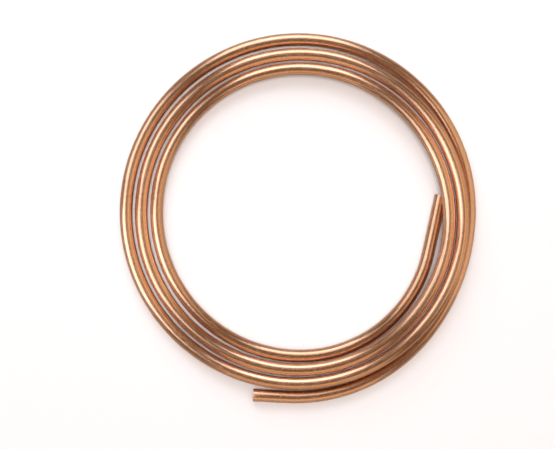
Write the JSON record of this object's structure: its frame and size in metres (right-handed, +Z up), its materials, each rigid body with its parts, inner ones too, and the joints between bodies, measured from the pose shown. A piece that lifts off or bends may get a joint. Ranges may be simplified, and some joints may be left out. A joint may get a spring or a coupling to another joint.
{
  "type": "copper tube coil",
  "caption": "Soft round copper tube wound into a flat, single-layer coil with an open eye, both free ends straight and cut square.",
  "frame": {"origin": "on the surface the coil lies on, under the middle of its bounding box", "axes": "+Z up out of the coil's flat side; +Y across the coil away from the side with the outer free end; +X towards the side where the inner turns ride over the outermost turn"},
  "size_m": [0.3632, 0.3776, 0.0267],
  "materials": {
    "copper": "bright soft-drawn copper, unpolished"
  },
  "bodies": {
    "root": {"copper_tube": "copper"}
  },
  "joints": []
}
